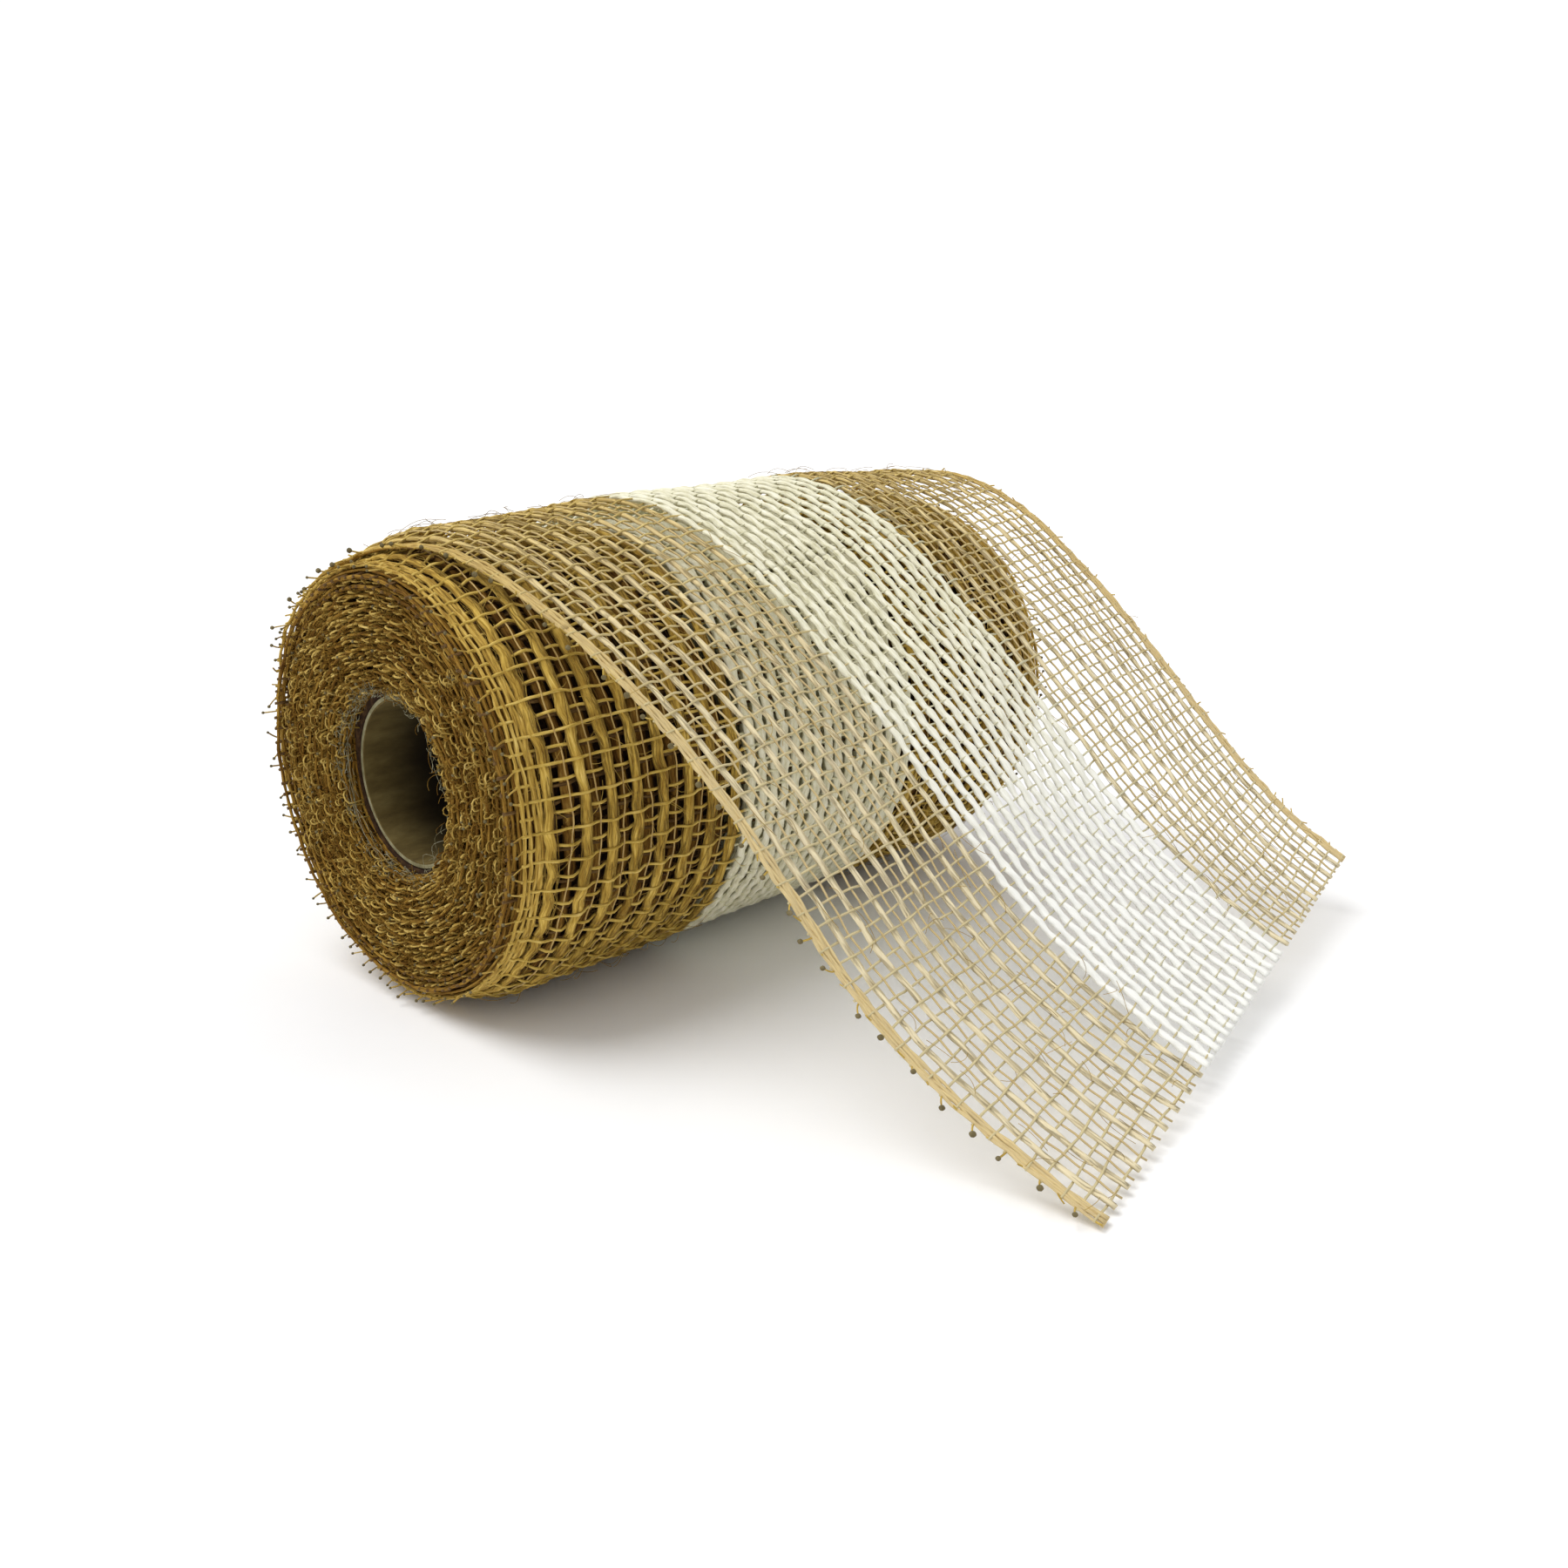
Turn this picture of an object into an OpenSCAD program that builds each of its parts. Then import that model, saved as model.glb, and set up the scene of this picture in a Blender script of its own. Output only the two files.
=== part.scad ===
// Striped open-weave mesh ribbon wound on a plain cardboard core, with its loose
// end drawn off over the top of the roll. Millimetres. The roll's axis lies along
// Y through the origin, which is the middle of the core's bore. The loose end runs
// towards +X and the floor lies under the roll.
// Every turn of the ribbon is one woven web: two jute bands with a cotton band
// between them, and a bundled selvedge along each edge.

/* [Ribbon] */
// width of the ribbon, edge to edge
ribbon_w = 152.4; // [60:0.2:260]
// width of each bundled selvedge
selvedge_w = 4.2; // [2:0.1:8]
// width of the cotton band in the middle
cotton_w = 50.8; // [20:0.2:90]
// thickness of the woven web where the thick yarns lie
web_t = 0.85; // [0.5:0.05:2]
// thickness of the loose end's web
tail_t = 1.2; // [0.6:0.05:2]

/* [Roll] */
// radius over the outermost turn
roll_r = 45; // [30:0.5:80]
// radius at the selvedges, which carry less yarn and sit lower
edge_r = 42.6; // [28:0.1:78]
// length of the shoulder between the selvedge and the full radius
shoulder = 6; // [2:0.5:12]
// width of the flat that the soft roll makes where it rests
rest_flat = 13; // [0:0.5:20]
// radial pitch of the wound turns
turn_pitch = 1.35; // [0.8:0.05:3]

/* [Core] */
// bore radius of the cardboard tube
bore_r = 15.9; // [8:0.1:40]
// thickness of one paper ply
ply_t = 0.35; // [0.2:0.01:1]
// how far the tube's ends lie inside the ribbon's edges
core_recess = 4; // [0:0.5:10]
// start strip that holds the first turn: width along the girth, in degrees
strip_deg = 50; // [10:5:120]

/* [Loose end] */
// where the web lifts off the roll, in degrees back from the top
lift_deg = 55; // [20:1:80]
// heading of the loose end away from square, towards the far edge
skew_deg = 8.9; // [0:0.1:25]
// bends of the near edge after the lift-off: [length, degrees]
near_bends = [[44.4, -55], [20, -20], [30, -11], [30, -12], [30, -7], [30, 18.5], [33, 12]];
// bends of the far edge after the lift-off: [length, degrees]
far_bends = [[28, -27], [28, -40], [28, -26], [28, -6], [28, -3], [24, 5.5], [24, 13.5]];
// how far the web arches up between its edges where it crosses the roll
crown = 2.6; // [0:0.1:6]
// how far the cotton band slides towards the near edge along the loose end
drift = 2.4; // [0:0.1:6]
// where the second fold crosses, as a share of the loose end's length
fold_at = 0.66; // [0.4:0.01:0.8]
// half of the gap left at a fold, one mesh opening
fold_gap = 0.8; // [0.5:0.05:2]

/* [Wefts] */
// radius of a weft thread
weft_r = 0.3; // [0.2:0.05:0.6]
// spacing of the weft threads that are shown
weft_step = 12; // [3:1:30]
// how far a cut weft end stands out past the edge
weft_out = 3.2; // [0:0.1:6]
// radius of the melted bead on a weft end
bead_r = 0.6; // [0.3:0.05:1.2]

/* [Output] */
// node to draw

/* [Hidden] */
$fn = 96;
half_w = ribbon_w / 2;
jute_w = (ribbon_w - cotton_w - 2 * selvedge_w) / 2;
part = 0.06;                      // half of the seam between two yarn groups
yb = [-half_w, -half_w + selvedge_w, -cotton_w / 2, cotton_w / 2, half_w - selvedge_w, half_w];
pack_gap = 1.9;                   // outermost turn's outside down to the wound pack
core_or = bore_r + 3 * ply_t + 0.04;
wound_ir = core_or + 0.42;
floor_z = -sqrt(roll_r * roll_r - rest_flat * rest_flat / 4);
tail_mid = roll_r + 0.42 + tail_t / 2;
tail_steps = 40;
fold_i = round(tail_steps * fold_at);

kraft = [0.66, 0.55, 0.40];
jute = [0.74, 0.60, 0.34];
jute_dark = [0.55, 0.41, 0.20];
cotton = [0.92, 0.91, 0.85];
weftc = [0.62, 0.57, 0.36];

// ---- turning about the roll's axis --------------------------------------

// everything that is round about the roll's axis: profile in x = radius, y = place along the axis
module about_axis() rotate([90, 0, 0]) mirror([0, 0, 1]) children();
module revolved(pts) about_axis() rotate_extrude() polygon(pts);

// radius of the ribbon's outside at place y
function out_r(y) =
  let (a = half_w - selvedge_w - abs(y))
  a <= 0 ? edge_r : a >= shoulder ? roll_r : edge_r + (roll_r - edge_r) * a / shoulder;

// ---- cardboard core -------------------------------------------------------

module ply(i, len) about_axis() difference() {
  cylinder(r = bore_r + i * (ply_t + 0.02) + ply_t, h = len, center = true);
  cylinder(r = bore_r + i * (ply_t + 0.02), h = len + 2, center = true);
}
core_len = ribbon_w - 2 * core_recess;
module core_inner_ply() color(kraft) ply(0, core_len);
module core_middle_ply() color(kraft * 0.94) ply(1, core_len);
module core_outer_ply() color(kraft * 0.88) ply(2, core_len);
module start_strip() color([0.80, 0.80, 0.76]) about_axis() difference() {
  rotate(110) rotate_extrude(angle = strip_deg)
    translate([core_or + 0.03, -core_len / 2 + 1]) square([0.33, core_len - 2]);
}

// ---- wound turns under the outermost one ----------------------------------

// end faces show the stacked edges of the turns as steps
function comb(y_out, dir, r0, r1) = [
  for (k = [0 : floor((r1 - r0) / turn_pitch) - 1])
    for (q = [0 : 3])
      let (a = r0 + k * turn_pitch, d = (k % 3) * 0.35)
      q == 0 ? [a, y_out + dir * 1.6] :
      q == 1 ? [a + 0.35, y_out + dir * 1.6] :
      q == 2 ? [a + 0.35, y_out + dir * d] : [a + turn_pitch, y_out + dir * d]
];
module wound_edge(s) {
  r0 = wound_ir;
  r1 = edge_r - pack_gap;
  y_out = s * half_w;
  y_in = s * (half_w - selvedge_w + part);
  c = comb(y_out, -s, r0, r1);
  revolved(concat([[r0, y_in]], c, [[r1, y_out - s * 1.0], [r1, y_in]]));
}
module wound_selvedge_near() color(jute_dark) wound_edge(-1);
module wound_selvedge_far() color(jute_dark) wound_edge(1);
module wound_jute(s) {
  y1 = s * (half_w - selvedge_w - part);
  y2 = s * (half_w - selvedge_w - shoulder);
  y3 = s * (cotton_w / 2 + part);
  revolved([[wound_ir, y1], [edge_r - pack_gap, y1], [roll_r - pack_gap, y2], [roll_r - pack_gap, y3], [wound_ir, y3]]);
}
module wound_jute_near() color(jute_dark) wound_jute(-1);
module wound_jute_far() color(jute_dark) wound_jute(1);
module wound_cotton() color(cotton * 0.9) about_axis() difference() {
  cylinder(r = roll_r - pack_gap, h = cotton_w - 2 * part, center = true);
  cylinder(r = wound_ir, h = cotton_w, center = true);
}

// ---- outermost turn ---------------------------------------------------------

// flat on the underside where the soft roll rests
module rested() difference() {
  children();
  translate([-roll_r, -ribbon_w, floor_z - 10]) cube([2 * roll_r, 2 * ribbon_w, 10]);
}
// thick warp yarns stand up as low ribs on the web
function ribs(y0, n, pitch, w, rin, rout) = [
  for (k = [0 : n - 1]) for (q = [0 : 3])
    let (c = y0 + k * pitch)
    q == 0 ? [rin, c - w / 2] : q == 1 ? [rout, c - w / 2 + 0.45] :
    q == 2 ? [rout, c + w / 2 - 0.45] : [rin, c + w / 2]
];
rib_pitch = (jute_w - shoulder) / 7;
module turn_jute(s) {
  y1 = half_w - selvedge_w - part;
  y2 = half_w - selvedge_w - shoulder;
  y3 = cotton_w / 2 + part;
  web = 0.4;
  pts = concat(
    [[edge_r - web_t, y1], [edge_r - web_t + web, y1], [roll_r - web_t + web, y2]],
    [for (k = [0 : 6]) for (q = [0 : 3])
      let (c = y2 - (k + 0.5) * rib_pitch, w = 2.4)
      q == 0 ? [roll_r - web_t + web, c + w / 2] : q == 1 ? [roll_r, c + w / 2 - 0.5] :
      q == 2 ? [roll_r, c - w / 2 + 0.5] : [roll_r - web_t + web, c - w / 2]],
    [[roll_r - web_t + web, y3], [roll_r - web_t, y3], [roll_r - web_t, y2]]);
  rested() revolved([for (p = pts) [p[0], s * p[1]]]);
}
module turn_jute_near() color(jute) turn_jute(-1);
module turn_jute_far() color(jute) turn_jute(1);
module turn_cotton() color(cotton) {
  n = 16;
  p = (cotton_w - 2 * part) / n;
  y0 = -cotton_w / 2 + part;
  web = 0.4;
  rested() revolved(concat(
    [[roll_r - web_t, y0]],
    [for (k = [0 : n - 1]) for (q = [0 : 3])
      let (a = y0 + k * p)
      q == 0 ? [roll_r - web_t + web, a] : q == 1 ? [roll_r, a + 0.7] :
      q == 2 ? [roll_r, a + p - 0.9] : [roll_r - web_t + web, a + p - 0.2]],
    [[roll_r - web_t + web, -y0], [roll_r - web_t, -y0]]));
}
turn_picks = floor(2 * PI * roll_r / weft_step);
module turn_selvedge(s) {
  rm = edge_r - web_t / 2;
  union() {
    about_axis() translate([0, 0, s * (half_w - selvedge_w / 2 + part / 2)]) difference() {
      cylinder(r = edge_r, h = selvedge_w - part, center = true);
      cylinder(r = edge_r - web_t, h = selvedge_w + 1, center = true);
    }
    for (k = [0 : turn_picks - 1]) about_axis() rotate((k + 0.5) * 360 / turn_picks)
      translate([rm, 0, s * (half_w - 1)]) mirror([0, 0, s < 0 ? 1 : 0]) {
        cylinder(r = weft_r, h = weft_out + 1, $fn = 16);
        translate([0, 0, weft_out + 1]) sphere(r = bead_r, $fn = 20);
      }
  }
}
module turn_selvedge_near() color(jute) turn_selvedge(-1);
module turn_selvedge_far() color(jute) turn_selvedge(1);
module turn_wefts() color(weftc) {
  len = 2 * (half_w - selvedge_w - shoulder) - 1;
  for (k = [0 : turn_picks - 1]) about_axis() rotate((k + 0.5) * 360 / turn_picks)
    translate([roll_r - web_t - weft_r - 0.08, 0, 0]) cylinder(r = weft_r, h = len, center = true, $fn = 16);
}

// ---- loose end ----------------------------------------------------------------

// length of a chain of bends
function chain_len(c, i = 0) = i >= len(c) ? 0 : c[i][0] + chain_len(c, i + 1);
// place and slope after length s along a chain, from p (run, height) at slope a
function along(c, s, p, a, i = 0) =
  let (l = c[i][0], b = c[i][1], t = (i == len(c) - 1 || s <= l) ? s : l, d = b * t / l,
       k = abs(d) < 0.001 ? t : 2 * t / (d * PI / 180) * sin(d / 2),
       q = [p[0] + k * cos(a + d / 2), p[1] + k * sin(a + d / 2)])
  t < l || i == len(c) - 1 || s == l ? [q[0], q[1], a + d] : along(c, s - l, q, a + d, i + 1);
p_start = [0, 0];
arch_u = 0.5;
start_x = -tail_mid * sin(lift_deg);
start_z = tail_mid * cos(lift_deg);
function edge_at(c, y0, u) =
  let (e = along(c, u * chain_len(c), p_start, lift_deg))
  [start_x + e[0] * cos(skew_deg), y0 + e[0] * sin(skew_deg), start_z + e[1]];
// share of the loose end's length at station i; the stations either side of the fold leave a gap
function u_at(i) = i / tail_steps;
function near_at(u) = edge_at(near_bends, -half_w, u);
function far_at(u) = edge_at(far_bends, half_w, u);
function unit(v) = v / norm(v);
// arch of the web between its edges, gone before the fold
function arch(u, v) = u < arch_u ? crown * sin(180 * u / arch_u) * sin(180 * v) : 0;
// share across after the cotton band has slid
function slid(u, v) = v - drift / ribbon_w * min(1, u / arch_u) * min(1, min(3 * v, 3 * (1 - v)));
// place on the web, share w across, with h above the middle of its thickness
function web(u, w, h) =
  let (v = slid(u, w), n0 = near_at(u), f0 = far_at(u), e = 0.002,
       n1 = near_at(min(u + e, 1)), f1 = far_at(min(u + e, 1)),
       n2 = near_at(max(u - e, 0)), f2 = far_at(max(u - e, 0)),
       p = n0 + (f0 - n0) * v,
       t = (n1 + (f1 - n1) * v) - (n2 + (f2 - n2) * v),
       n = unit(cross(t, f0 - n0)))
  p + n * (h + arch(u, v));

us_of = function (u0, u1, m) [for (i = [0 : m]) u0 + (u1 - u0) * i / m];
// a curved slab of the web between two shares of the length and of the width
module slab(u0, u1, v0, v1, m, k, h0 = -tail_t / 2, h1 = tail_t / 2) {
  us = us_of(u0, u1, m);
  nv = k + 1;
  top = [for (u = us) for (j = [0 : k]) web(u, v0 + (v1 - v0) * j / k, h1)];
  bot = [for (u = us) for (j = [0 : k]) web(u, v0 + (v1 - v0) * j / k, h0)];
  nb = len(top);
  up = [for (i = [0 : m - 1]) for (j = [0 : k - 1]) for (q = [0, 1])
    let (a = i * nv + j, b = a + 1, c = a + nv, d = c + 1) q == 0 ? [a, c, d] : [a, d, b]];
  dn = [for (f = up) [nb + f[0], nb + f[2], nb + f[1]]];
  s0 = [for (i = [0 : m - 1]) for (q = [0, 1]) let (a = i * nv, c = a + nv) q == 0 ? [a, nb + a, nb + c] : [a, nb + c, c]];
  s1 = [for (i = [0 : m - 1]) for (q = [0, 1]) let (a = i * nv + k, c = a + nv) q == 0 ? [a, nb + c, nb + a] : [a, c, nb + c]];
  e0 = [for (j = [0 : k - 1]) for (q = [0, 1]) let (a = j, b = j + 1) q == 0 ? [a, b, nb + b] : [a, nb + b, nb + a]];
  e1 = [for (j = [0 : k - 1]) for (q = [0, 1]) let (a = m * nv + j, b = a + 1) q == 0 ? [a, nb + b, b] : [a, nb + a, nb + b]];
  polyhedron(concat(top, bot), concat(up, dn, s0, s1, e0, e1), convexity = 6);
}
near_len = chain_len(near_bends);
gap_u = fold_gap / near_len * 1.08;
u_fold = fold_i / tail_steps;
vb = [for (y = yb) (y + half_w) / ribbon_w];
pv = part / ribbon_w;
module tail_band(i) slab(0, u_fold - gap_u, vb[i] + (i > 0 ? pv : 0), vb[i + 1] - (i < 4 ? pv : 0), 30, i == 0 || i == 4 ? 1 : 3);
module end_band(i) slab(u_fold + gap_u, 1, vb[i] + (i > 0 ? pv : 0), vb[i + 1] - (i < 4 ? pv : 0), 12, 1);
module tail_selvedge_near() color(jute) tail_band(0);
module tail_jute_near() color(jute * 1.08) tail_band(1);
module tail_cotton() color(cotton) tail_band(2);
module tail_jute_far() color(jute * 1.08) tail_band(3);
module tail_selvedge_far() color(jute) tail_band(4);
module end_selvedge_near() color(jute) end_band(0);
module end_jute_near() color(jute * 1.08) end_band(1);
module end_cotton() color(cotton) end_band(2);
module end_jute_far() color(jute * 1.08) end_band(3);
module end_selvedge_far() color(jute) end_band(4);

// a weft thread across the web at share u, lying just above the warps, with its cut ends standing out
module pick(u) {
  w = weft_out / ribbon_w;
  slab(u - weft_r / near_len, u + weft_r / near_len, -w, 1 + w, 1, u < arch_u ? 8 : 1,
    tail_t / 2 + 0.15, tail_t / 2 + 0.15 + 2 * weft_r);
}
module picks(u0, u1) {
  n = max(1, floor((u1 - u0) * near_len / weft_step));
  for (k = [0 : n - 1]) pick(u0 + (u1 - u0) * (k + 0.5) / n);
}
module tail_wefts() color(weftc) picks(0, u_fold - gap_u);
module end_wefts() color(weftc) picks(u_fold + gap_u, 1);

core_inner_ply();
core_middle_ply();
core_outer_ply();
start_strip();
wound_selvedge_near();
wound_jute_near();
wound_cotton();
wound_jute_far();
wound_selvedge_far();
turn_selvedge_near();
turn_jute_near();
turn_cotton();
turn_jute_far();
turn_selvedge_far();
turn_wefts();
tail_selvedge_near();
tail_jute_near();
tail_cotton();
tail_jute_far();
tail_selvedge_far();
tail_wefts();
end_selvedge_near();
end_jute_near();
end_cotton();
end_jute_far();
end_selvedge_far();
end_wefts();
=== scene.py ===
import math

import numpy as np
import bpy
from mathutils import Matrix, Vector


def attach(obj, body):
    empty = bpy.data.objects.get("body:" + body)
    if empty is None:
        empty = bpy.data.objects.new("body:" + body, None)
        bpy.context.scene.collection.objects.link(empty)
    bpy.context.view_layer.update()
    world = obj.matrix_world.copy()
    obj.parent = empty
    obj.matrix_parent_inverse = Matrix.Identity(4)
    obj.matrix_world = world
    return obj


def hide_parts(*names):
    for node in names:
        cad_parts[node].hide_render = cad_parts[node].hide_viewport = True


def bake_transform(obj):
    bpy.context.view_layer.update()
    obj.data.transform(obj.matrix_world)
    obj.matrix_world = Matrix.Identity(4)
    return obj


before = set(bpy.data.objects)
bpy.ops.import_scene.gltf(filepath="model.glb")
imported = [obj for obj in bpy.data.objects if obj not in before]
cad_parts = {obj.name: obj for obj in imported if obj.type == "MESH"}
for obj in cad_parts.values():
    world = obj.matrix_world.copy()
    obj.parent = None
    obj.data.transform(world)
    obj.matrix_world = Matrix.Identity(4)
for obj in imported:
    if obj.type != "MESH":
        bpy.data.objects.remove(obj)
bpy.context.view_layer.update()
rng = np.random.default_rng(11)

# ---------------------------------------------------------------- sizes, mm
W = 152.4  # ribbon width
R_OUT = 45.0  # roll, outside
LIFT = 55.0  # degrees past the top where the outermost turn leaves the roll
TM = 46.02  # middle of the ribbon's thickness where it leaves the roll
SKEW = 8.9
FOLD_U = 0.65
SPLIT_U = 0.40
NEAR = [[44.4, -55], [20, -20], [30, -11], [30, -12], [30, -7], [30, 18.5], [33, 12]]
FAR = [[28, -27], [28, -40], [28, -26], [28, -6], [28, -3], [24, 5.5], [24, 13.5]]
L_NEAR = sum(l for l, _ in NEAR)
L_FAR = sum(l for l, _ in FAR)
PICK = 3.0  # between wefts

rad = np.radians


def smooth(t):
    t = np.clip(t, 0.0, 1.0)
    return t * t * (3 - 2 * t)


def wave(x, seed, lengths, amps):
    g = np.random.default_rng(seed)
    out = np.zeros_like(np.asarray(x, float))
    for ln, am in zip(lengths, amps):
        out = out + am * np.sin(2 * np.pi * np.asarray(x, float) / (ln * g.uniform(0.8, 1.25)) + g.uniform(0, 6.28))
    return out


# ------------------------------------------------- the loose end's surface
def profile(bends):
    s, p0, p1, an = [0.0], [0.0], [0.0], [LIFT]
    a = LIFT
    x = y = at = 0.0
    for l, b in bends:
        n = 24
        for i in range(1, n + 1):
            t = l * i / n
            d = b * t / l
            k = t if abs(d) < 1e-6 else 2 * t / math.radians(d) * math.sin(math.radians(d) / 2)
            s.append(at + t)
            p0.append(x + k * math.cos(math.radians(a + d / 2)))
            p1.append(y + k * math.sin(math.radians(a + d / 2)))
            an.append(a + d)
        x, y, at, a = p0[-1], p1[-1], at + l, a + b
    return map(np.array, (s, p0, p1, an))


TAB = {}
for key, bends, y0 in (("n", NEAR, -W / 2), ("f", FAR, W / 2)):
    s, p0, p1, an = profile(bends)
    TAB[key] = (s, p0, p1, an, y0, s[-1])


def edge(key, u):
    s, p0, p1, an, y0, total = TAB[key]
    at = np.asarray(u, float) * total
    a0, a1 = np.interp(at, s, p0), np.interp(at, s, p1)
    # straight on past the cut, so a frayed yarn can stand past it
    over = np.maximum(at - total, 0)
    a0, a1 = a0 + over * math.cos(math.radians(an[-1])), a1 + over * math.sin(math.radians(an[-1]))
    ang = np.interp(at, s, an)
    c, sn = math.cos(math.radians(SKEW)), math.sin(math.radians(SKEW))
    p = np.stack([-TM * math.sin(math.radians(LIFT)) + a0 * c, y0 + a0 * sn, TM * math.cos(math.radians(LIFT)) + a1], -1)
    t = np.stack([np.cos(rad(ang)) * c, np.cos(rad(ang)) * sn, np.sin(rad(ang))], -1)
    return p, t


def unit(v):
    return v / np.maximum(np.linalg.norm(v, axis=-1, keepdims=True), 1e-12)


def tail(u, w, h):
    """A point of the loose end: u along it from 0 where it leaves the roll to 1 at the cut, w across it, h off its middle."""
    u, w, h = np.broadcast_arrays(np.asarray(u, float), np.asarray(w, float), np.asarray(h, float))
    v = w / W
    vc = np.clip(v, 0, 1)
    n, tn = edge("n", u)
    f, tf = edge("f", u)
    sl = v - 2.4 / W * np.minimum(1, u / 0.5) * np.minimum(1, np.minimum(3 * vc, 3 * (1 - vc)))
    arch = np.where(u < 0.5, 2.6 * np.sin(rad(np.clip(180 * u / 0.5, 0, 180))) * np.sin(rad(180 * vc)), 0)
    t = unit(tn * (1 - sl[..., None]) + tf * sl[..., None])
    up = unit(np.cross(t, f - n))
    ripple = 0.5 * np.sin(w / 9.0 + 9 * u) * smooth(u * 3) * smooth((vc) * 8) * smooth((1 - vc) * 8)
    hug = shoulder(w) * (1 - smooth((u * L_NEAR - 28) / 42))
    return n + (f - n) * sl[..., None] + up * (h + arch + ripple + hug)[..., None], up


# ------------------------------------------------------- the roll's surface
def shoulder(w):
    e = np.minimum(w, W - w)
    return -2.4 * (1 - smooth((e - 3.2) / 6.5))


def roll_outer(phi, w, h):
    """The outermost turn. phi is in degrees, 145 where the loose end leaves it, growing inwards along the ribbon."""
    phi, w, h = np.broadcast_arrays(np.asarray(phi, float), np.asarray(w, float), np.asarray(h, float))
    r = 44.1 + (TM - 44.1) * smooth((205 - phi) / 60) - 1.0 * smooth((phi - 492) / 30)
    r = r + shoulder(w) + h
    p = np.stack([r * np.cos(rad(phi)), w - W / 2, r * np.sin(rad(phi))], -1)
    up = np.stack([np.cos(rad(phi)), 0 * phi, np.sin(rad(phi))], -1)
    return p, up


def roll_ring(mid, shift=0.0):
    def at(phi, w, h):
        phi, w, h = np.broadcast_arrays(np.asarray(phi, float), np.asarray(w, float), np.asarray(h, float))
        r = mid + shoulder(w) + h
        p = np.stack([r * np.cos(rad(phi)), w - W / 2 + shift + 0.35 * np.sin(rad(phi) * 2 + mid), r * np.sin(rad(phi))], -1)
        up = np.stack([np.cos(rad(phi)), 0 * phi, np.sin(rad(phi))], -1)
        return p, up

    return at


# --------------------------------------------------------------- yarn plan
THICK = [5.6 + 6.1 * k for k in range(8)]
THIN = [8.65 + 6.1 * k for k in range(7)]
FINE_WOUND = [0.5, 1.7, 2.9, 3.45, 4.0]
FINE_LOOSE = [0.35, 0.85, 1.35, 1.85, 2.35]
THICK += [W - w for w in THICK]
THIN += [W - w for w in THIN]
COTTON = [52.4 + 3.17 * k for k in range(16)]


def weft_knots(i, k=0.0):
    """Where pick i runs over and under the warps: (across, height)."""
    s = 1 if i % 2 == 0 else -1
    knots = []
    for side in (0, 1):
        m = (lambda w: w) if side == 0 else (lambda w: W - w)
        knots += [(m(w + (l - w) * k), s * 0.38 * (-1) ** j) for j, (w, l) in enumerate(zip(FINE_WOUND, FINE_LOOSE))]
        knots += [(m(5.6 + 6.1 * k), s * 0.80) for k in range(8)]
        knots += [(m(8.65 + 6.1 * k), -s * 0.30) for k in range(7)]
    knots += [(w, s * (-1) ** k * 0.44) for k, w in enumerate(COTTON)]
    return sorted(knots)


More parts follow.
